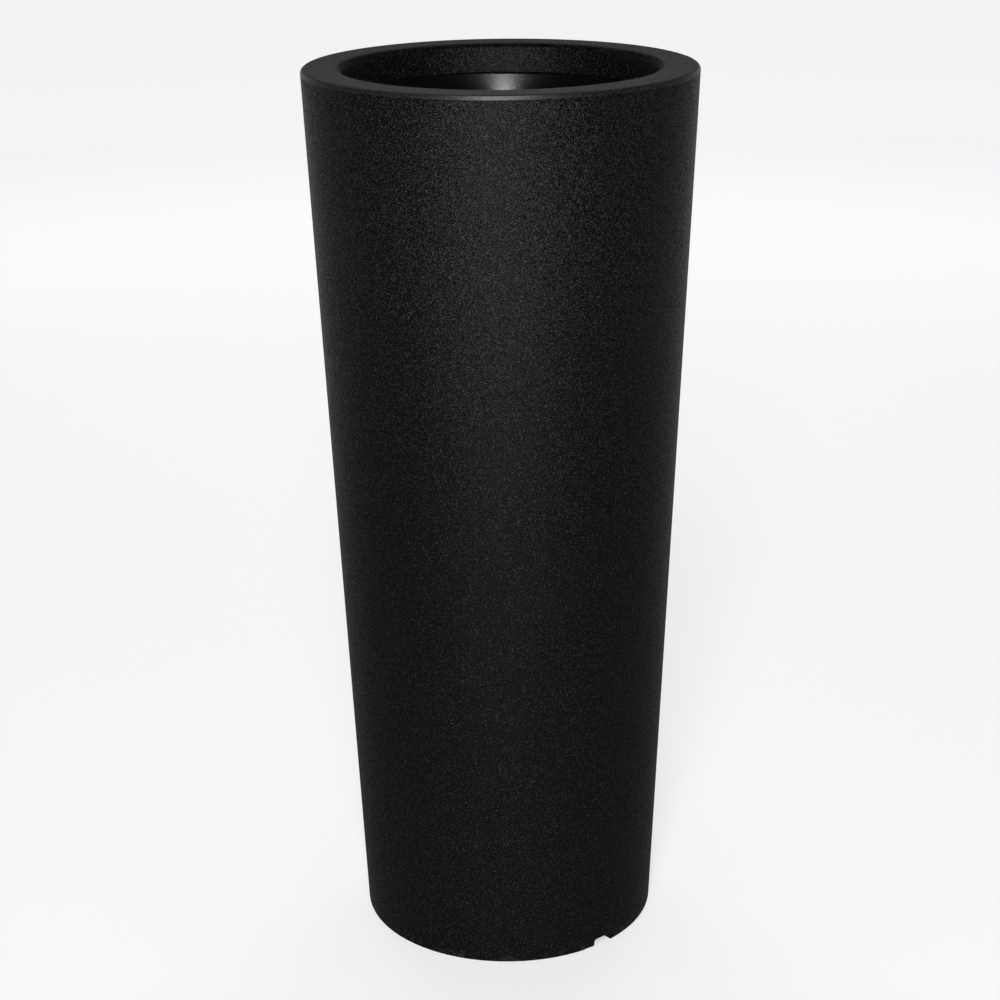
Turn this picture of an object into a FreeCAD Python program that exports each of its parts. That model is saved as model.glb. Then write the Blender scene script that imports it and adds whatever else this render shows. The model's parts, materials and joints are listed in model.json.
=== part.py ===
import FreeCAD, Part
import math
import os

from FreeCAD import Vector

# Tall cone planter: a rotomoulded shell, and hanging in its mouth a drop-in liner pot with lift handles.
# Millimetres, +Z up, origin at the centre of the foot. The front of the planter faces -Y.

# Shell
HEIGHT = 800.0
TOP_DIAMETER = 344.0
BASE_DIAMETER = 272.0
SHELL_WALL = 6.0           # measured level
RIM_EDGE_ROUND = 4.0       # outer edge of the rim
PARTING_GAP = 1.0          # mould's parting line below that rounding
PARTING_WIDTH = 1.2
PARTING_DEPTH = 0.6
MOUTH_DIAMETER = 273.0     # clear width inside the collar
MOUTH_ROUND = 7.0          # inner edge of the rim
COLLAR_DEPTH = 28.5        # rim face down to the ledge
LEDGE_WIDTH = 6.0
LEDGE_CORNER_ROUND = 1.0   # corner between collar and ledge
HOLLOW_ROUND = 2.0         # corners inside the hollow rim
WELL_ROUND = 12.0          # corner between wall and floor, inside
FLOOR_THICKNESS = 6.0
FOOT_WIDTH = 12.0
FOOT_HEIGHT = 12.0
FOOT_EDGE_ROUND = 3.0
RECESS_ROUND = 2.0         # corners of the recess under the floor
BASE_DRAIN_DIAMETER = 40.0

# Drain notch in the foot, at the front right, with a shallow step on its left
NOTCH_ANGLE = 40.0         # degrees from the front towards +X
NOTCH_WIDTH = 22.0
NOTCH_HEIGHT = 8.5
NOTCH_ROUND = 3.0
NOTCH_STEP_WIDTH = 10.0
NOTCH_STEP_HEIGHT = 2.0
NOTCH_OVERRUN = 5.0        # cutter past both faces of the foot

# Liner pot
LINER_WALL = 3.0           # measured level
LINER_DEPTH = 200.0        # flange face down to the inside floor
LINER_TAPER = 14.0         # degrees from upright
FLANGE_THICKNESS = 3.0
FLANGE_GAP = 1.5           # flange edge to collar
FLANGE_EDGE_ROUND = 1.0
DROP_GAP = 1.0             # pot wall to ledge edge
LIP_ROUND = 1.5            # flange face into the pot
FLANGE_ROOT_ROUND = 1.0    # underside of the flange into the outer wall
POT_FLOOR_ROUND = 8.0
LINER_FOOT_WIDTH = 4.0
LINER_FOOT_HEIGHT = 6.0
LINER_DRAIN_DIAMETER = 24.0

# Lift handles: bent rods, each sprung into two ears on the pot's wall and hanging inside the pot
ROD_DIAMETER = 5.0
ROD_BEND = 6.0             # radius of each bend, at the rod's middle
ROD_GAP = 0.3              # rod to ear bore
ROD_WALL_GAP = 2.0         # hanging rod to the pot's wall
ROD_END = 2.0              # rod standing out past its ear
PIVOT_DROP = 14.0          # flange face down to the pivots
GRIP_REACH = 38.0          # pivots to the grip, at the rod's middle
EAR_SPACING = 100.0        # between the middles of a handle's two ears
EAR_HEIGHT = 10.0
EAR_THICKNESS = 8.0
EAR_SIDE_GAP = 1.0         # ear to the start of the bend

# Drainage plate
PLATE_THICKNESS = 4.0
PLATE_GAP = 1.5            # plate edge to pot wall, and leg to the floor's rounding
PLATE_EDGE_ROUND = 1.0
PLATE_HUB_GAP = 9.0        # centre hole to plug collar, room for fingers round the plug's knob
PLATE_BAND = 7.0           # hole centres to the plate's inner and outer edges
PLATE_HOLE_DIAMETER = 6.0
PLATE_HOLE_PITCH = 10.0
PLATE_LEG_COUNT = 4
PLATE_LEG_DIAMETER = 8.0
PLATE_LEG_HEIGHT = 16.0

# Push-in plugs
PLUG_GAP = 0.3             # stem to its hole
PLUG_TAIL = 3.0            # stem past the floor's underside
PLUG_TIP_TAPER = 1.5       # narrowing of the stem at its tip
PLUG_EDGE_ROUND = 1.0
PLUG_NECK_HEIGHT = 5.0
PLUG_KNOB_HEIGHT = 6.0
PLUG_COLLAR_THICKNESS = 3.0
LINER_PLUG_COLLAR = 5.0    # collar past the hole's edge
LINER_PLUG_NECK_DIAMETER = 9.0
LINER_PLUG_KNOB_DIAMETER = 18.0
BASE_PLUG_COLLAR = 8.0
BASE_PLUG_NECK_DIAMETER = 14.0
BASE_PLUG_KNOB_DIAMETER = 30.0
SEAL_THICKNESS = 3.0
SEAL_EDGE_GAP = 1.0        # seal's outer edge inside the plug's collar

# Sizes that follow
top_radius = TOP_DIAMETER / 2
base_radius = BASE_DIAMETER / 2
mouth_radius = MOUTH_DIAMETER / 2
ledge_top = HEIGHT - COLLAR_DEPTH
ledge_edge_radius = mouth_radius - LEDGE_WIDTH
floor_top = FOOT_HEIGHT + FLOOR_THICKNESS
foot_inner_radius = base_radius - FOOT_WIDTH

flange_top = ledge_top + FLANGE_THICKNESS
flange_radius = mouth_radius - FLANGE_GAP
pot_mouth_radius = ledge_edge_radius - DROP_GAP - LINER_WALL
pot_floor_top = flange_top - LINER_DEPTH
pot_slope = math.tan(math.radians(LINER_TAPER))

rod_radius = ROD_DIAMETER / 2
pivot_height = flange_top - PIVOT_DROP
grip_height = pivot_height - GRIP_REACH
ear_y = EAR_SPACING / 2
bend_y = ear_y - EAR_THICKNESS / 2 - EAR_SIDE_GAP
leg_y = bend_y - ROD_BEND

liner_drain_radius = LINER_DRAIN_DIAMETER / 2
base_drain_radius = BASE_DRAIN_DIAMETER / 2

AXIS = Vector(0, 0, 1)
ORIGIN = Vector(0, 0, 0)


def shell_radius(z):
    """Outer radius of the shell's wall at a height."""
    return base_radius + (top_radius - base_radius) * z / HEIGHT


def pot_radius(z):
    """Inner radius of the liner pot's wall at a height."""
    return pot_mouth_radius - (flange_top - z) * pot_slope


def pivot_x():
    """Distance of a hanging handle from the planter's middle, clear of the wall beside its grip's corners."""
    wall_x = math.sqrt(pot_radius(grip_height - rod_radius) ** 2 - (leg_y + rod_radius) ** 2)
    return wall_x - ROD_WALL_GAP - rod_radius


def outline(corners):
    """Closed face in the XZ plane. Each corner is (x, z, rounding), and a rounding of 0 is sharp."""
    points = [Vector(x, 0, z) for x, z, rounding in corners]
    count = len(points)
    stretches = []
    for index, (x, z, rounding) in enumerate(corners):
        corner = points[index]
        back = (points[index - 1] - corner).normalize()
        ahead = (points[(index + 1) % count] - corner).normalize()
        half_angle = back.getAngle(ahead) / 2
        reach = rounding / math.tan(half_angle)
        middle = corner + (back + ahead).normalize() * (rounding / math.sin(half_angle) - rounding)
        stretches.append((corner + back * reach, middle, corner + ahead * reach))
    edges = []
    for index, (start, middle, end) in enumerate(stretches):
        if corners[index][2] > 0:
            edges.append(Part.Arc(start, middle, end).toShape())
        edges.append(Part.LineSegment(end, stretches[(index + 1) % count][0]).toShape())
    return Part.Face(Part.Wire(edges))


def turned(corners):
    """Solid of revolution about the planter's axis."""
    return outline(corners).revolve(ORIGIN, AXIS, 360)


def bent_path(points, radius):
    """Open wire along the points, with each right-angled corner on the way bent to the radius."""
    edges = []
    start = points[0]
    for back, corner, ahead in zip(points, points[1:], points[2:]):
        into = (back - corner).normalize() * radius
        out = (ahead - corner).normalize() * radius
        middle = corner + (into + out) * (1 - math.sqrt(0.5))
        edges.append(Part.LineSegment(start, corner + into).toShape())
        edges.append(Part.Arc(corner + into, middle, corner + out).toShape())
        start = corner + out
    edges.append(Part.LineSegment(start, points[-1]).toShape())
    return Part.Wire(edges)


def upright_cylinder(radius, height, x, y, z):
    return Part.makeCylinder(radius, height, Vector(x, y, z), AXIS)


def ring_places(radius, count):
    """Evenly spaced places on a circle about the planter's axis."""
    turns = [2 * math.pi * index / count for index in range(count)]
    return [(radius * math.cos(turn), radius * math.sin(turn)) for turn in turns]


def notch_cutter(left, right, top, rounding):
    """Channel through the foot at the notch's angle, from left to right of its middle."""
    face = outline([
        (left, -NOTCH_OVERRUN, 0),
        (right, -NOTCH_OVERRUN, 0),
        (right, top, rounding),
        (left, top, rounding),
    ])
    run = FOOT_WIDTH + 2 * NOTCH_OVERRUN
    face.translate(Vector(0, -(foot_inner_radius - NOTCH_OVERRUN), 0))
    cutter = face.extrude(Vector(0, -run, 0))
    cutter.rotate(ORIGIN, AXIS, NOTCH_ANGLE)
    return cutter


def make_shell():
    """One-piece shell: wall, flat rim, collar, ledge, recessed floor and foot ring."""
    collar_back = mouth_radius + SHELL_WALL
    rim_underside = HEIGHT - SHELL_WALL
    parting_top = HEIGHT - RIM_EDGE_ROUND - PARTING_GAP
    parting_middle = parting_top - PARTING_WIDTH / 2
    parting_bottom = parting_top - PARTING_WIDTH
    body = turned([
        (base_radius, 0, FOOT_EDGE_ROUND),
        (shell_radius(parting_bottom), parting_bottom, 0),
        (shell_radius(parting_middle) - PARTING_DEPTH, parting_middle, 0),
        (shell_radius(parting_top), parting_top, 0),
        (top_radius, HEIGHT, RIM_EDGE_ROUND),
        (mouth_radius, HEIGHT, MOUTH_ROUND),
        (mouth_radius, ledge_top, LEDGE_CORNER_ROUND),
        (ledge_edge_radius, ledge_top, 0),
        (ledge_edge_radius, ledge_top - SHELL_WALL, 0),
        (collar_back, ledge_top - SHELL_WALL, SHELL_WALL + LEDGE_CORNER_ROUND),
        (collar_back, rim_underside, HOLLOW_ROUND),
        (shell_radius(rim_underside) - SHELL_WALL, rim_underside, HOLLOW_ROUND),
        (shell_radius(floor_top) - SHELL_WALL, floor_top, WELL_ROUND),
        (base_drain_radius, floor_top, 0),
        (base_drain_radius, FOOT_HEIGHT, 0),
        (foot_inner_radius, FOOT_HEIGHT, RECESS_ROUND),
        (foot_inner_radius, 0, RECESS_ROUND),
    ])
    half = NOTCH_WIDTH / 2
    body = body.cut(notch_cutter(-half, half, NOTCH_HEIGHT, NOTCH_ROUND))
    return body.cut(notch_cutter(-half - NOTCH_STEP_WIDTH, 0, NOTCH_STEP_HEIGHT, 0))


def make_ear(y):
    """Right-hand ear, round about the handle's pivot and bored along Y, with its root inside the wall."""
    half = EAR_HEIGHT / 2
    low = pivot_height - half
    high = pivot_height + half
    near = pivot_x()
    far = pot_mouth_radius
    edges = [
        Part.LineSegment(Vector(far, 0, high), Vector(near, 0, high)).toShape(),
        Part.Arc(Vector(near, 0, high), Vector(near - half, 0, pivot_height), Vector(near, 0, low)).toShape(),
        Part.LineSegment(Vector(near, 0, low), Vector(far, 0, low)).toShape(),
        Part.LineSegment(Vector(far, 0, low), Vector(far, 0, high)).toShape(),
    ]
    ear = Part.Face(Part.Wire(edges)).extrude(Vector(0, EAR_THICKNESS, 0))
    bore_start = Vector(near, 0, pivot_height)
    ear = ear.cut(Part.makeCylinder(rod_radius + ROD_GAP, EAR_THICKNESS, bore_start, Vector(0, 1, 0)))
    ear.translate(Vector(0, y - EAR_THICKNESS / 2, 0))
    middle_of_wall = LINER_WALL / 2
    within = turned([
        (0, low, 0),
        (pot_radius(low) + middle_of_wall, low, 0),
        (pot_radius(high) + middle_of_wall, high, 0),
        (0, high, 0),
    ])
    return ear.common(within)


def make_liner():
    """Drop-in pot: flange, tapering wall, floor with its drain hole, foot ring and four handle ears."""
    floor_underside = pot_floor_top - LINER_WALL
    foot_bottom = floor_underside - LINER_FOOT_HEIGHT
    foot_outer = pot_radius(foot_bottom) + LINER_WALL
    pot = turned([
        (flange_radius, ledge_top, 0),
        (flange_radius, flange_top, FLANGE_EDGE_ROUND),
        (pot_mouth_radius, flange_top, LIP_ROUND),
        (pot_radius(pot_floor_top), pot_floor_top, POT_FLOOR_ROUND),
        (liner_drain_radius, pot_floor_top, 0),
        (liner_drain_radius, floor_underside, 0),
        (foot_outer - LINER_FOOT_WIDTH, floor_underside, 0),
        (foot_outer - LINER_FOOT_WIDTH, foot_bottom, 0),
        (foot_outer, foot_bottom, FLANGE_EDGE_ROUND),
        (pot_radius(ledge_top) + LINER_WALL, ledge_top, FLANGE_ROOT_ROUND),
    ])
    for y in (-ear_y, ear_y):
        ear = make_ear(y)
        pot = pot.fuse(ear).fuse(ear.rotated(ORIGIN, AXIS, 180))
    return pot.removeSplitter()


def make_handle():
    """Right-hand bail, hanging: straight ends in the two ears, two legs and a straight grip."""
    x = pivot_x()
    end_y = ear_y + EAR_THICKNESS / 2 + ROD_END
    path = bent_path([
        Vector(x, -end_y, pivot_height),
        Vector(x, -leg_y, pivot_height),
        Vector(x, -leg_y, grip_height),
        Vector(x, leg_y, grip_height),
        Vector(x, leg_y, pivot_height),
        Vector(x, end_y, pivot_height),
    ], ROD_BEND)
    section = Part.Wire(Part.makeCircle(rod_radius, Vector(x, -end_y, pivot_height), Vector(0, 1, 0)))
    return path.makePipeShell([section], True, False)


def make_plate():
    """Perforated false floor on legs, with a centre hole that clears the liner's plug."""
    underside = pot_floor_top + PLATE_LEG_HEIGHT
    outer = pot_radius(underside) - PLATE_GAP
    hub = liner_drain_radius + LINER_PLUG_COLLAR + PLATE_HUB_GAP
    leg_radius = PLATE_LEG_DIAMETER / 2
    hole_radius = PLATE_HOLE_DIAMETER / 2
    leg_circle = pot_radius(pot_floor_top) - POT_FLOOR_ROUND - PLATE_GAP - leg_radius
    plate = turned([
        (hub, underside, PLATE_EDGE_ROUND),
        (outer, underside, 0),
        (outer, underside + PLATE_THICKNESS, PLATE_EDGE_ROUND),
        (hub, underside + PLATE_THICKNESS, PLATE_EDGE_ROUND),
    ])
    legs = ring_places(leg_circle, PLATE_LEG_COUNT)
    cutters = []
    ring_radius = hub + PLATE_BAND
    while ring_radius <= outer - PLATE_BAND:
        for x, y in ring_places(ring_radius, int(2 * math.pi * ring_radius / PLATE_HOLE_PITCH)):
            nearest_leg = min(math.hypot(x - post_x, y - post_y) for post_x, post_y in legs)
            if nearest_leg > leg_radius + PLATE_HOLE_DIAMETER:
                cutters.append(upright_cylinder(hole_radius, PLATE_THICKNESS, x, y, underside))
        ring_radius += PLATE_HOLE_PITCH
    plate = plate.cut(cutters)
    for x, y in legs:
        plate = plate.fuse(upright_cylinder(leg_radius, PLATE_LEG_HEIGHT, x, y, pot_floor_top))
    return plate.removeSplitter()


def make_plug(seat, hole_bottom, hole_radius, collar, neck_diameter, knob_diameter):
    """Push-in plug: tapered tip and stem in the hole, collar on the seat, neck and grip knob above."""
    stem = hole_radius - PLUG_GAP
    tip = hole_bottom - PLUG_TAIL
    collar_top = seat + PLUG_COLLAR_THICKNESS
    neck = neck_diameter / 2
    knob = knob_diameter / 2
    knob_bottom = collar_top + PLUG_NECK_HEIGHT
    knob_top = knob_bottom + PLUG_KNOB_HEIGHT
    return turned([
        (0, tip, 0),
        (stem - PLUG_TIP_TAPER, tip, PLUG_EDGE_ROUND),
        (stem, hole_bottom, 0),
        (stem, seat, 0),
        (hole_radius + collar, seat, 0),
        (hole_radius + collar, collar_top, PLUG_EDGE_ROUND),
        (neck, collar_top, PLUG_EDGE_ROUND),
        (neck, knob_bottom, PLUG_EDGE_ROUND),
        (knob, knob_bottom, PLUG_EDGE_ROUND),
        (knob, knob_top, 2 * PLUG_EDGE_ROUND),
        (0, knob_top, 0),
    ])


def make_seal():
    """Flat washer between the shell's floor and the base plug's collar."""
    outer = base_drain_radius + BASE_PLUG_COLLAR - SEAL_EDGE_GAP
    inner = base_drain_radius
    return turned([
        (inner, floor_top, 0),
        (outer, floor_top, 0),
        (outer, floor_top + SEAL_THICKNESS, 0),
        (inner, floor_top + SEAL_THICKNESS, 0),
    ])


right_handle = make_handle()
left_handle = right_handle.copy()
left_handle.rotate(ORIGIN, AXIS, 180)

pieces = {
    "planter_shell": make_shell(),
    "liner_pot": make_liner(),
    "lift_handle_left": left_handle,
    "lift_handle_right": right_handle,
    "drainage_plate": make_plate(),
    "liner_drain_plug": make_plug(
        pot_floor_top,
        pot_floor_top - LINER_WALL,
        liner_drain_radius,
        LINER_PLUG_COLLAR,
        LINER_PLUG_NECK_DIAMETER,
        LINER_PLUG_KNOB_DIAMETER,
    ),
    "base_drain_plug": make_plug(
        floor_top + SEAL_THICKNESS,
        FOOT_HEIGHT,
        base_drain_radius,
        BASE_PLUG_COLLAR,
        BASE_PLUG_NECK_DIAMETER,
        BASE_PLUG_KNOB_DIAMETER,
    ),
    "base_plug_seal": make_seal(),
}

os.makedirs("parts", exist_ok=True)
for name, shape in pieces.items():
    box = shape.BoundBox
    heights = (round(box.ZMin, 2), round(box.ZMax, 2))
    print(name, shape.isValid(), len(shape.Solids), round(shape.Volume), *heights)
    shape.exportStep("parts/" + name + ".step")
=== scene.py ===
import json
import math

import bpy
from mathutils import Matrix, Vector


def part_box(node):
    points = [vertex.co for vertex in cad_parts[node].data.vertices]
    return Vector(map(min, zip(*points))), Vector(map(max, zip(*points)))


# Looks of the tall cone planter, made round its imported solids. Metres, in the frame of the solids: origin at
# the centre of the foot, +Z up, the front towards -Y.
#
# A noise is its scale in features a metre, its detail and, where given, its roughness. A relief is its depth
# in metres and its strength. A tone is a share of white. A span is the noise between which a mark comes up.

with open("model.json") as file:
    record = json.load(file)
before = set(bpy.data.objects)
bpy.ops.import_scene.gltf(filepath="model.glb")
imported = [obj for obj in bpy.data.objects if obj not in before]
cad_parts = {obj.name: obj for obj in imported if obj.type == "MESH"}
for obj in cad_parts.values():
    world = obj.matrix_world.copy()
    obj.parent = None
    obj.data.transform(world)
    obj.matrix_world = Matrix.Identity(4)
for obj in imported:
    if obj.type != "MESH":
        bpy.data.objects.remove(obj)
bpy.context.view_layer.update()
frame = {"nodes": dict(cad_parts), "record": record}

# Camera, at the photograph's viewing angle
CAMERA_PLACE = Vector((0.0, -1.908, 1.0694))
CAMERA_PITCH = 19.235      # degrees down
CAMERA_YAW = -0.135        # degrees to the right
CAMERA_ROLL = -0.651       # degrees
CAMERA_LENS = 79.22        # millimetres
SENSOR_WIDTH = 36.0        # millimetres

# Light: a tall soft key in front and weaker fills, in a dim room with pale walls
ROOM_LEVEL = 0.08
WALL_LEVEL = 0.66
WALL_TOP = (0.0, 0.2)      # sines of the elevations between which the walls fade into the room
KEY_DISTANCE = 3.8         # from the middle of the planter's mouth
KEY_ELEVATION = 30.0       # degrees, seen from there
KEY_TURN = -3.0            # degrees from the front, to the right
KEY_WIDTH = 0.9
KEY_HEIGHT = 1.9
KEY_POWER = 160.0          # watts
FILL_DISTANCE = 3.5
FILL_SIZE = 2.0
FILLS = ((-158.0, 25.0, 36.0), (158.0, 25.0, 36.0), (180.0, 85.0, 24.0))  # turn, elevation, watts

# Floor
FLOOR_RADIUS = 14.0
FLOOR_SIDES = 96
FLOOR_TONES = (0.3743, 0.38)
FLOOR_NOISE = (1.5, 2.0)
FLOOR_ROUGHNESS = 0.9
FLOOR_GRAIN_NOISE = (60.0, 2.0)
FLOOR_RELIEF = (0.0002, 0.1)
FLOOR_GLOW = (0.57, 0.84)  # white that it gives off to the camera and to reflections, near and far
FLOOR_FAR = (1.8, 5.0)     # distances between which the glow goes from one to the other

# Places on the shell
RIM_LIP = (0.0041, 0.0035)  # depths below the top between which the wall turns into the rim's slanted lip
RIM_EDGE = (0.0012, 0.0003)  # depths between which the lip turns into the flat rim
RIM_DUST = (0.001, 0.0003)  # depths between which the flat rim's dust starts
RIM_BAND = (0.0065, 0.0045)  # depths between which the grain smooths out towards the rim
LIP_SLANT = 0.36           # upward part of the lip's normal
RIM_DISH = 0.045           # how far the rim leans towards the mouth
MOUTH_ROUNDING = 0.0045    # width of the rim's inner edge, over which its normal turns towards the mouth
MOUTH_RADIUS = 0.1365      # of the collar
WALL_DEPTH = (0.004, 0.0045)  # depths within the outer surface between which the inside starts
LEDGE_DEPTH = (0.006, 0.003)  # depths below the liner's top between which the inside ends
FOOT_BAND = (0.02, 0.04)   # heights between which the wall's own normal takes over from the foot's
SCUFF_HEIGHT = 0.012       # foot's edge, worn by standing

# Grain of the shell and the liner
GRAIN_NOISE = (1000.0, 1.0)
GRAIN_MIDDLE = (0.5, 0.5, 0.5)  # noise's mean
GRAIN_TILT = (1.8, 1.8, 0.8)  # how far the bumps tilt the surface along X, Y and Z
GRAIN_LEAN = (0.0, 0.0, 0.36)  # how far their upper sides stand out
RIM_GRAIN = 0.4            # share of the relief that is left on the rim and inside
LIP_GRAIN = 0.1            # and on the rim's rubbed outer edge
LINER_GRAIN = 0.06         # and on the liner
NOISE_REACH = (0.3, 0.7)   # values between which most of a noise lies

# Shell
WALL_TONES = (0.0006, 0.0012)
PATCH_NOISE = (9.0, 3.0)
WALL_ROUGHNESS = (0.4, 0.5)
WALL_NOISE = (1100.0, 2.0)
WEAR = 0.22                # how much rougher the wall is at the foot than at the top
SHELL_SPECULAR = 0.07
FLECK_NOISE = (950.0, 1.0)
FLECK_SPAN = (0.52, 0.66)
FLECK_TONE = 0.032
SHADE_FLECK_THINNING = 0.05          # painted shade: how much more noise a fleck takes low on the wall and in the mouth, so those places look darker
SHADE_FLECK_HEIGHTS = (0.38, 0.7)  # heights between which the painted shade fades out and the flecks get denser
SCUFF_NOISE = (130.0, 4.0)
SCUFF_SPAN = (0.5, 0.65)
SCUFF_TONE = 0.03
RIM_TONE = 0.03            # of the dust on the flat rim
RIM_DUST_SHARE = 0.7
RIM_FLECKS = 0.4           # share of the flecks' tone that is left on the flat rim
RIM_ROUGHNESS = 0.4
LIP_ROUGHNESS = 0.42       # rim's rubbed outer edge
LIP_SPECULAR = 0.34
INSIDE_ROUGHNESS = 0.3
INSIDE_NOISE = (60.0, 2.0)
INSIDE_RELIEF = (0.002, 0.4)

# Liner
LINER_TONES = (0.0005, 0.0009)
LINER_SWELL_NOISE = (14.0, 3.0)
LINER_SWELL_RELIEF = (0.0004, 0.3)
LINER_ROUGHNESS = (0.17, 0.21)
LINER_NOISE = (700.0, 2.0)
LINER_EDGE_DEPTH = 0.022   # worn edge, from the liner's top
LINER_EDGE_ROUGHNESS = 0.3
LINER_SPECULAR = 0.2
SCRATCH_NOISE = (240.0, 5.0, 0.7)
SCRATCH_SPAN = (0.62, 0.72)
SCRATCH_ROUGHNESS = 0.05   # on top of the liner's own
SCRATCH_RELIEF = (0.00002, 0.3)
DUST_HEIGHT = 0.09         # from the liner's foot
DUST_NOISE = (45.0, 4.0)
DUST_SPAN = (0.35, 0.7)
DUST_SHARES = (0.2, 1.0)
DUST_TONE = 0.012
DUST_ROUGHNESS = 0.4

# Handles
COAT_TONES = (0.004, 0.007)
COAT_NOISE = (40.0, 2.0)
COAT_ROUGHNESS = (0.42, 0.55)
COAT_SPECULAR = 0.3
PEEL_NOISE = (650.0, 1.0)
PEEL_RELIEF = (0.0002, 0.5)
CHIP_NOISE = (170.0, 5.0, 0.65)
CHIP_SPAN = (0.63, 0.7)
CHIP_TONE = 0.09           # of the bare steel
CHIP_ROUGHNESS = 0.36
CHIP_RELIEF = (0.00006, -0.6)

# Drainage plate
PLATE_TONES = (0.012, 0.022)
PLATE_ROUGHNESS = (0.4, 0.52)
PLATE_NOISE = (900.0, 2.0)
PLATE_RELIEF = (0.00012, 0.5)
PLATE_SPECULAR = 0.3
FLOW_NOISE = (30.0, 4.0)
FLOW_RELIEF = (0.0005, 0.2)
LIME_NOISE = (75.0, 5.0, 0.6)
LIME_SPAN = (0.56, 0.75)
LIME_SHARE = 0.6
LIME_TONE = 0.06
LIME_ROUGHNESS = 0.75

# Rubber of the liner's plug and of the seal: tones bare and under bloom
PLUG_RUBBER_TONES = (0.005, 0.014)
SEAL_RUBBER_TONES = (0.004, 0.01)
SKIN_NOISE = (1300.0, 2.0)
SKIN_RELIEF = (0.00012, 0.6)
RUBBER_ROUGHNESS = (0.58, 0.68)
RUBBER_SPECULAR = 0.25
BLOOM_NOISE = (160.0, 4.0)
BLOOM_SPAN = (0.48, 0.72)
BLOOM_SHARE = 0.8
BLOOM_ROUGHNESS = 0.85

# Base plug
PLUG_TONES = (0.004, 0.008)
PLUG_PATCH_NOISE = (60.0, 3.0)
PLUG_ROUGHNESS = (0.36, 0.46)
PLUG_NOISE = (800.0, 2.0)
PLUG_RELIEF = (0.0001, 0.4)
PLUG_SPECULAR = 0.3
RING_WAVES = 5200.0        # mould's rings, in radians a metre from the axis
RING_RELIEF = (0.00002, 0.5)
PLUG_SCUFF_NOISE = (210.0, 5.0, 0.65)
PLUG_SCUFF_SPAN = (0.6, 0.7)
PLUG_SCUFF_TONE = 0.025
PLUG_SCUFF_ROUGHNESS = 0.62

shell_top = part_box("planter_shell")[1].z
liner_low, liner_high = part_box("liner_pot")


def outer_radius(node, low, high):
    """Largest distance from the planter's axis among a node's points between two heights."""
    points = [vertex.co for vertex in frame["nodes"][node].data.vertices]
    return max(math.hypot(point.x, point.y) for point in points if low <= point.z <= high)


shell_top_radius = outer_radius("planter_shell", shell_top - 2 * RIM_LIP[0], shell_top)
shell_foot_radius = outer_radius("planter_shell", 0.0, SCUFF_HEIGHT)
rim_width = shell_top_radius - MOUTH_RADIUS


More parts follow.
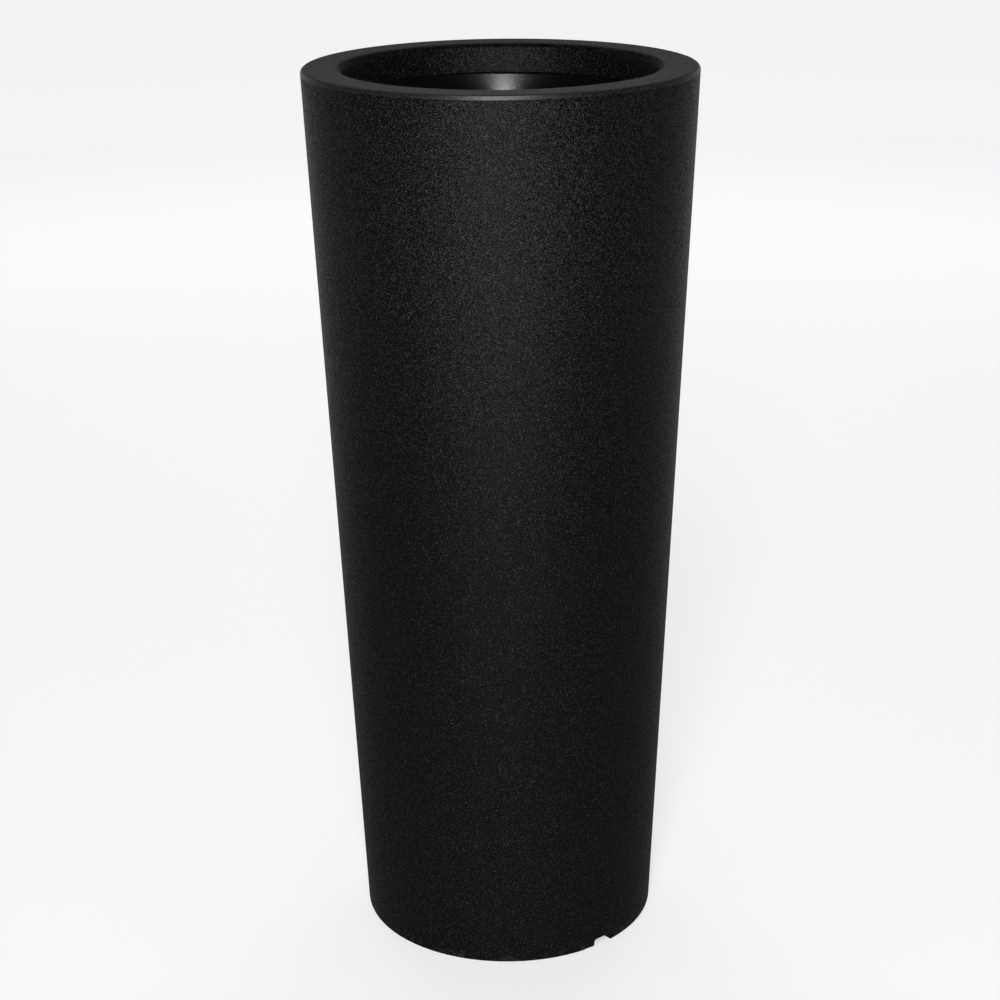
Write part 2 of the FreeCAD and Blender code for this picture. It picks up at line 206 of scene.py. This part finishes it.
class Surface:
    """A node material in the making: its Principled shader, and each point's place in the object's space."""

    def __init__(self, name):
        self.material = bpy.data.materials.new(name)
        self.material.use_nodes = True
        self.tree = self.material.node_tree
        self.shader = self.tree.nodes["Principled BSDF"]
        self.place = self.tree.nodes.new("ShaderNodeTexCoord").outputs["Object"]
        parts = self.tree.nodes.new("ShaderNodeSeparateXYZ")
        self.tree.links.new(self.place, parts.inputs["Vector"])
        self.height = parts.outputs["Z"]
        squares = [self.math("POWER", parts.outputs[axis], 2.0) for axis in "XY"]
        self.radius = self.math("SQRT", self.math("ADD", *squares))

    def put(self, socket, value):
        """Sets a socket, or links it where the value is another node's output."""
        if isinstance(value, bpy.types.NodeSocket):
            self.tree.links.new(value, socket)
        else:
            socket.default_value = value

    def math(self, operation, *values):
        node = self.tree.nodes.new("ShaderNodeMath")
        node.operation = operation
        for socket, value in zip(node.inputs, values):
            self.put(socket, value)
        return node.outputs["Value"]

    def times(self, first, second):
        return self.math("MULTIPLY", first, second)

    def rest(self, share):
        """What a share leaves of the whole."""
        return self.math("SUBTRACT", 1.0, share)

    def vector_math(self, operation, *values):
        node = self.tree.nodes.new("ShaderNodeVectorMath")
        node.operation = operation
        sockets = [socket for socket in node.inputs if socket.type == "VECTOR"]
        for socket, value in zip(sockets, values):
            self.put(socket, value)
        return node

    def noise(self, scale, detail, roughness=0.5, output="Fac"):
        node = self.tree.nodes.new("ShaderNodeTexNoise")
        self.put(node.inputs["Vector"], self.place)
        node.inputs["Scale"].default_value = scale
        node.inputs["Detail"].default_value = detail
        node.inputs["Roughness"].default_value = roughness
        return node.outputs[output]

    def span(self, value, start, end, low=0.0, high=1.0):
        """Value from start to end becomes low to high, smoothly and held at both ends."""
        node = self.tree.nodes.new("ShaderNodeMapRange")
        node.interpolation_type = "SMOOTHSTEP"
        self.put(node.inputs["Value"], value)
        self.put(node.inputs["From Min"], start)
        self.put(node.inputs["From Max"], end)
        self.put(node.inputs["To Min"], low)
        self.put(node.inputs["To Max"], high)
        return node.outputs["Result"]

    def spread(self, noise, low, high):
        """Noise becomes low to high over most of its values."""
        return self.span(noise, *NOISE_REACH, low, high)

    def mix(self, share, first, second):
        """Number that goes from first to second with share."""
        node = self.tree.nodes.new("ShaderNodeMix")
        self.put(node.inputs["Factor"], share)
        self.put(node.inputs["A"], first)
        self.put(node.inputs["B"], second)
        return node.outputs["Result"]

    def blend(self, share, first, second):
        """Colour that goes from first to second with share."""
        node = self.tree.nodes.new("ShaderNodeMix")
        node.data_type = "RGBA"
        sockets = [socket for socket in node.inputs if socket.type == "RGBA"]
        self.put(node.inputs["Factor"], share)
        self.put(sockets[0], first)
        self.put(sockets[1], second)
        return next(socket for socket in node.outputs if socket.type == "RGBA")

    def tones(self, share, low, high):
        """Grey that goes from one tone to another with share."""
        return self.blend(share, grey(low), grey(high))

    def scale(self, vector, factor):
        node = self.vector_math("SCALE", vector)
        self.put(node.inputs["Scale"], factor)
        return node.outputs["Vector"]

    def vector(self, *values):
        node = self.tree.nodes.new("ShaderNodeCombineXYZ")
        for socket, value in zip(node.inputs, values):
            self.put(socket, value)
        return node.outputs["Vector"]

    def add(self, first, second):
        return self.vector_math("ADD", first, second).outputs["Vector"]

    def unit(self, vector):
        return self.vector_math("NORMALIZE", vector).outputs["Vector"]

    def mesh_normal(self):
        return self.tree.nodes.new("ShaderNodeNewGeometry").outputs["Normal"]

    def turned_normal(self, out, up):
        """Normal of a turned surface, from its parts away from the axis and upwards."""
        away = self.unit(self.vector_math("MULTIPLY", self.place, (1.0, 1.0, 0.0)).outputs["Vector"])
        return self.unit(self.add(self.scale(away, out), self.vector(0.0, 0.0, up)))

    def between(self, share, first, second):
        """Direction that goes from first to second with share."""
        return self.unit(self.add(self.scale(first, self.rest(share)), self.scale(second, share)))

    def grain(self, normal, share):
        """Normal with soft random bumps, whose upper sides stand out, at a share of their full relief."""
        bumps = self.noise(*GRAIN_NOISE, output="Color")
        centred = self.vector_math("SUBTRACT", bumps, GRAIN_MIDDLE).outputs["Vector"]
        tilted = self.vector_math("MULTIPLY", centred, GRAIN_TILT).outputs["Vector"]
        relief = self.add(tilted, GRAIN_LEAN)
        return self.unit(self.add(normal, self.scale(relief, share)))

    def bump(self, height, depth, strength, below=None):
        """Normal of a relief, laid on another normal if given."""
        node = self.tree.nodes.new("ShaderNodeBump")
        self.put(node.inputs["Height"], height)
        node.inputs["Distance"].default_value = depth
        node.inputs["Strength"].default_value = strength
        if below is not None:
            self.put(node.inputs["Normal"], below)
        return node.outputs["Normal"]

    def finish(self, colour, roughness, normal, specular):
        self.put(self.shader.inputs["Base Color"], colour)
        self.put(self.shader.inputs["Roughness"], roughness)
        self.put(self.shader.inputs["Normal"], normal)
        self.put(self.shader.inputs["Specular IOR Level"], specular)
        return self.material


def grey(tone):
    return (tone, tone, tone, 1.0)


def rim_and_wall_normal(surface, depth, drop):
    """Normal of the shell's wall, rim and collar, from a point's depth in the wall and drop from the top."""
    lip = surface.span(drop, *RIM_LIP, 0.0, LIP_SLANT)
    flat = surface.span(drop, *RIM_EDGE)
    wall_out = surface.span(drop, *RIM_EDGE, 1.0, -RIM_DISH)
    wall_up = surface.math("MAXIMUM", lip, flat)

    past_flat = surface.math("SUBTRACT", rim_width - MOUTH_ROUNDING, depth)
    collar_out = surface.math("MINIMUM", surface.math("DIVIDE", past_flat, MOUTH_ROUNDING), -RIM_DISH)
    above_collar = surface.math("SUBTRACT", MOUTH_ROUNDING, drop)
    collar_up = surface.math("MAXIMUM", surface.math("DIVIDE", above_collar, MOUTH_ROUNDING), 0.0)

    collar = surface.math("GREATER_THAN", depth, rim_width / 2)
    return surface.turned_normal(
        surface.mix(collar, wall_out, collar_out),
        surface.mix(collar, wall_up, collar_up),
    )


def shell_plastic():
    """Black rotomoulded polyethylene.

    Fine moulded grain, pale flecks thinned as painted shade low down and in the mouth, a smoother dusty rim, a
    scuffed foot and a waxy inside.
    """
    surface = Surface("shell_plastic")
    slope = (shell_top_radius - shell_foot_radius) / shell_top
    wall_radius = surface.math("MULTIPLY_ADD", surface.height, slope, shell_foot_radius)
    depth = surface.math("SUBTRACT", wall_radius, surface.radius)
    drop = surface.math("SUBTRACT", shell_top, surface.height)
    liner_drop = surface.math("SUBTRACT", liner_high.z, surface.height)

    inside = surface.times(
        surface.span(depth, *WALL_DEPTH),
        surface.span(liner_drop, *LEDGE_DEPTH, 1.0, 0.0),
    )
    mouth = surface.span(depth, rim_width - MOUTH_ROUNDING, rim_width - MOUTH_ROUNDING / 2)
    rim = surface.span(drop, *RIM_BAND)
    flat_rim = surface.times(surface.span(drop, *RIM_EDGE), surface.rest(mouth))
    lip = surface.times(
        surface.span(drop, *RIM_LIP),
        surface.span(depth, WALL_DEPTH[0], WALL_DEPTH[0] / 2),
    )

    # Painted shade: fewer flecks low on the wall and in the mouth, so these look darker, as if less light
    # reached them.
    shade_thinning = surface.math("MAXIMUM", mouth, surface.span(surface.height, *SHADE_FLECK_HEIGHTS, 1.0, 0.0))
    fleck = surface.math("MULTIPLY_ADD", shade_thinning, -SHADE_FLECK_THINNING, surface.noise(*FLECK_NOISE))
    fleck = surface.span(fleck, *FLECK_SPAN)
    fleck = surface.times(fleck, surface.mix(flat_rim, 1.0, RIM_FLECKS))
    scuff = surface.times(
        surface.span(surface.height, 0.0, SCUFF_HEIGHT, 1.0, 0.0),
        surface.span(surface.noise(*SCUFF_NOISE), *SCUFF_SPAN),
    )
    colour = surface.tones(surface.noise(*PATCH_NOISE), *WALL_TONES)
    colour = surface.blend(fleck, colour, grey(FLECK_TONE))
    colour = surface.blend(scuff, colour, grey(SCUFF_TONE))
    colour = surface.blend(surface.span(drop, *RIM_DUST, 0.0, RIM_DUST_SHARE), colour, grey(RIM_TONE))

    roughness = surface.spread(surface.noise(*WALL_NOISE), *WALL_ROUGHNESS)
    roughness = surface.math("ADD", roughness, surface.span(surface.height, 0.0, shell_top, WEAR, 0.0))
    roughness = surface.mix(rim, roughness, RIM_ROUGHNESS)
    roughness = surface.mix(lip, roughness, LIP_ROUGHNESS)
    roughness = surface.mix(inside, roughness, INSIDE_ROUGHNESS)

    turned = surface.times(surface.rest(inside), surface.span(surface.height, *FOOT_BAND))
    normal = surface.between(turned, surface.mesh_normal(), rim_and_wall_normal(surface, depth, drop))
    smooth = surface.math("MAXIMUM", surface.times(rim, surface.rest(mouth)), inside)
    normal = surface.grain(normal, surface.mix(lip, surface.mix(smooth, 1.0, RIM_GRAIN), LIP_GRAIN))
    swell = surface.times(surface.noise(*INSIDE_NOISE), inside)
    normal = surface.bump(swell, *INSIDE_RELIEF, normal)
    return surface.finish(colour, roughness, normal, surface.mix(lip, SHELL_SPECULAR, LIP_SPECULAR))


def liner_plastic():
    """Glossy black moulded pot: soft swells, faint fine scratches, a worn edge, dust towards its floor."""
    surface = Surface("liner_plastic")
    swell = surface.noise(*LINER_SWELL_NOISE)
    scratch = surface.span(surface.noise(*SCRATCH_NOISE), *SCRATCH_SPAN)
    edge = surface.span(surface.height, liner_high.z - LINER_EDGE_DEPTH, liner_high.z)
    dust = surface.span(surface.height, liner_low.z, liner_low.z + DUST_HEIGHT, 1.0, 0.0)
    dust = surface.times(dust, surface.span(surface.noise(*DUST_NOISE), *DUST_SPAN, *DUST_SHARES))
    colour = surface.tones(swell, *LINER_TONES)
    colour = surface.blend(dust, colour, grey(DUST_TONE))
    roughness = surface.spread(surface.noise(*LINER_NOISE), *LINER_ROUGHNESS)
    roughness = surface.mix(edge, roughness, LINER_EDGE_ROUGHNESS)
    roughness = surface.math("MULTIPLY_ADD", scratch, SCRATCH_ROUGHNESS, roughness)
    roughness = surface.mix(dust, roughness, DUST_ROUGHNESS)
    normal = surface.bump(swell, *LINER_SWELL_RELIEF)
    normal = surface.bump(scratch, *SCRATCH_RELIEF, normal)
    normal = surface.grain(normal, LINER_GRAIN)
    return surface.finish(colour, roughness, normal, LINER_SPECULAR)


def handle_steel():
    """Black powder coat on steel rod: orange peel, and bare glints where the coat has chipped."""
    surface = Surface("handle_steel")
    peel = surface.noise(*PEEL_NOISE)
    chip = surface.span(surface.noise(*CHIP_NOISE), *CHIP_SPAN)
    colour = surface.tones(surface.noise(*COAT_NOISE), *COAT_TONES)
    colour = surface.blend(chip, colour, grey(CHIP_TONE))
    roughness = surface.mix(chip, surface.spread(peel, *COAT_ROUGHNESS), CHIP_ROUGHNESS)
    surface.put(surface.shader.inputs["Metallic"], chip)
    normal = surface.bump(peel, *PEEL_RELIEF)
    normal = surface.bump(chip, *CHIP_RELIEF, normal)
    return surface.finish(colour, roughness, normal, COAT_SPECULAR)


def plate_plastic():
    """Satin dark grey moulding: flow marks, fine texture and pale lime where water has dried."""
    surface = Surface("plate_plastic")
    texture = surface.noise(*PLATE_NOISE)
    flow = surface.noise(*FLOW_NOISE)
    lime = surface.span(surface.noise(*LIME_NOISE), *LIME_SPAN, 0.0, LIME_SHARE)
    colour = surface.tones(flow, *PLATE_TONES)
    colour = surface.blend(lime, colour, grey(LIME_TONE))
    roughness = surface.mix(lime, surface.spread(texture, *PLATE_ROUGHNESS), LIME_ROUGHNESS)
    normal = surface.bump(texture, *PLATE_RELIEF)
    normal = surface.bump(flow, *FLOW_RELIEF, normal)
    return surface.finish(colour, roughness, normal, PLATE_SPECULAR)


def rubber(name, tones):
    """Matt black rubber with a dusty bloom and a fine sandy skin."""
    surface = Surface(name)
    skin = surface.noise(*SKIN_NOISE)
    bloom = surface.span(surface.noise(*BLOOM_NOISE), *BLOOM_SPAN, 0.0, BLOOM_SHARE)
    colour = surface.tones(bloom, *tones)
    roughness = surface.mix(bloom, surface.spread(skin, *RUBBER_ROUGHNESS), BLOOM_ROUGHNESS)
    normal = surface.bump(skin, *SKIN_RELIEF)
    return surface.finish(colour, roughness, normal, RUBBER_SPECULAR)


def plug_plastic():
    """Satin black moulding with the turned rings of its mould and small scuffs."""
    surface = Surface("plug_plastic")
    rings = surface.math("SINE", surface.times(surface.radius, RING_WAVES))
    texture = surface.noise(*PLUG_NOISE)
    scuff = surface.span(surface.noise(*PLUG_SCUFF_NOISE), *PLUG_SCUFF_SPAN)
    colour = surface.tones(surface.noise(*PLUG_PATCH_NOISE), *PLUG_TONES)
    colour = surface.blend(scuff, colour, grey(PLUG_SCUFF_TONE))
    roughness = surface.mix(scuff, surface.spread(texture, *PLUG_ROUGHNESS), PLUG_SCUFF_ROUGHNESS)
    normal = surface.bump(rings, *RING_RELIEF)
    normal = surface.bump(texture, *PLUG_RELIEF, normal)
    return surface.finish(colour, roughness, normal, PLUG_SPECULAR)


def dress():
    """One material for each node, in the record's slots."""
    finishes = {
        "shell_plastic": shell_plastic(),
        "liner_plastic": liner_plastic(),
        "handle_steel": handle_steel(),
        "plate_plastic": plate_plastic(),
        "plug_rubber": rubber("plug_rubber", PLUG_RUBBER_TONES),
        "plug_plastic": plug_plastic(),
        "seal_rubber": rubber("seal_rubber", SEAL_RUBBER_TONES),
    }
    for part in frame["record"]["subparts"]:
        node = frame["nodes"][part["node"]]
        node.data.materials.clear()
        node.data.materials.append(finishes[part["material_slot"]])


def floor_paint():
    """Pale floor that glows to the camera and to reflections, so that it looks nearly white."""
    surface = Surface("floor")
    path = surface.tree.nodes.new("ShaderNodeLightPath").outputs
    seen = surface.math("MAXIMUM", path["Is Camera Ray"], path["Is Glossy Ray"])
    seen = surface.math("MAXIMUM", seen, path["Is Transmission Ray"])
    glow = surface.span(surface.radius, *FLOOR_FAR, *FLOOR_GLOW)
    surface.put(surface.shader.inputs["Emission Color"], grey(1.0))
    surface.put(surface.shader.inputs["Emission Strength"], surface.times(seen, glow))
    colour = surface.tones(surface.noise(*FLOOR_NOISE), *FLOOR_TONES)
    normal = surface.bump(surface.noise(*FLOOR_GRAIN_NOISE), *FLOOR_RELIEF)
    return surface.finish(colour, FLOOR_ROUGHNESS, normal, 0.0)


def lay_floor():
    """Round floor, far larger than the view."""
    mesh = bpy.data.meshes.new("floor")
    turns = [2 * math.pi * index / FLOOR_SIDES for index in range(FLOOR_SIDES)]
    corners = [(FLOOR_RADIUS * math.cos(turn), FLOOR_RADIUS * math.sin(turn), 0.0) for turn in turns]
    mesh.from_pydata(corners, [], [range(FLOOR_SIDES)])
    mesh.materials.append(floor_paint())
    floor = bpy.data.objects.new("floor", mesh)
    bpy.context.scene.collection.objects.link(floor)


def light_room():
    """Dim room with pale walls."""
    world = bpy.data.worlds.new("room")
    world.use_nodes = True
    tree = world.node_tree
    parts = tree.nodes.new("ShaderNodeSeparateXYZ")
    tree.links.new(tree.nodes.new("ShaderNodeTexCoord").outputs["Generated"], parts.inputs["Vector"])
    fade = tree.nodes.new("ShaderNodeMapRange")
    fade.interpolation_type = "SMOOTHSTEP"
    fade.inputs["From Min"].default_value = WALL_TOP[1]
    fade.inputs["From Max"].default_value = WALL_TOP[0]
    fade.inputs["To Min"].default_value = ROOM_LEVEL
    fade.inputs["To Max"].default_value = WALL_LEVEL
    tree.links.new(parts.outputs["Z"], fade.inputs["Value"])
    tree.links.new(fade.outputs["Result"], tree.nodes["Background"].inputs["Color"])
    bpy.context.scene.world = world


def add_lamp(name, width, height, power, distance, turn, elevation):
    """Soft lamp that faces the planter's mouth. Its turn is in degrees from the front, to the right."""
    data = bpy.data.lights.new(name, "AREA")
    data.shape = "RECTANGLE"
    data.size = width
    data.size_y = height
    data.energy = power
    lamp = bpy.data.objects.new(name, data)
    bpy.context.scene.collection.objects.link(lamp)
    rise = math.radians(elevation)
    side = math.radians(turn)
    towards = Vector((math.sin(side) * math.cos(rise), -math.cos(side) * math.cos(rise), math.sin(rise)))
    lamp.location = Vector((0.0, 0.0, shell_top)) + towards * distance
    lamp.rotation_euler = (-towards).to_track_quat("-Z", "Y").to_euler()
    return lamp


def light_planter():
    """Tall key above and behind the camera, and fills that show no reflection of their own."""
    add_lamp("key", KEY_WIDTH, KEY_HEIGHT, KEY_POWER, KEY_DISTANCE, KEY_TURN, KEY_ELEVATION)
    for number, (turn, elevation, power) in enumerate(FILLS, 1):
        fill = add_lamp(f"fill_{number}", FILL_SIZE, FILL_SIZE, power, FILL_DISTANCE, turn, elevation)
        fill.visible_glossy = False


def place_camera():
    """Camera from its place, pitch, yaw and roll."""
    pitch = math.radians(CAMERA_PITCH)
    yaw = math.radians(CAMERA_YAW)
    ahead = Vector((math.sin(yaw) * math.cos(pitch), math.cos(yaw) * math.cos(pitch), -math.sin(pitch)))
    right = Vector((math.cos(yaw), -math.sin(yaw), 0.0))
    up = right.cross(ahead)
    turn = Matrix.Rotation(math.radians(-CAMERA_ROLL), 3, ahead)
    data = bpy.data.cameras.new("camera")
    data.lens = CAMERA_LENS
    data.sensor_width = SENSOR_WIDTH
    camera = bpy.data.objects.new("camera", data)
    bpy.context.scene.collection.objects.link(camera)
    axes = Matrix((turn @ right, turn @ up, -ahead)).transposed()
    camera.matrix_world = Matrix.Translation(CAMERA_PLACE) @ axes.to_4x4()
    bpy.context.scene.camera = camera


dress()
lay_floor()
light_room()
light_planter()
place_camera()
bpy.context.scene.view_settings.view_transform = "Standard"
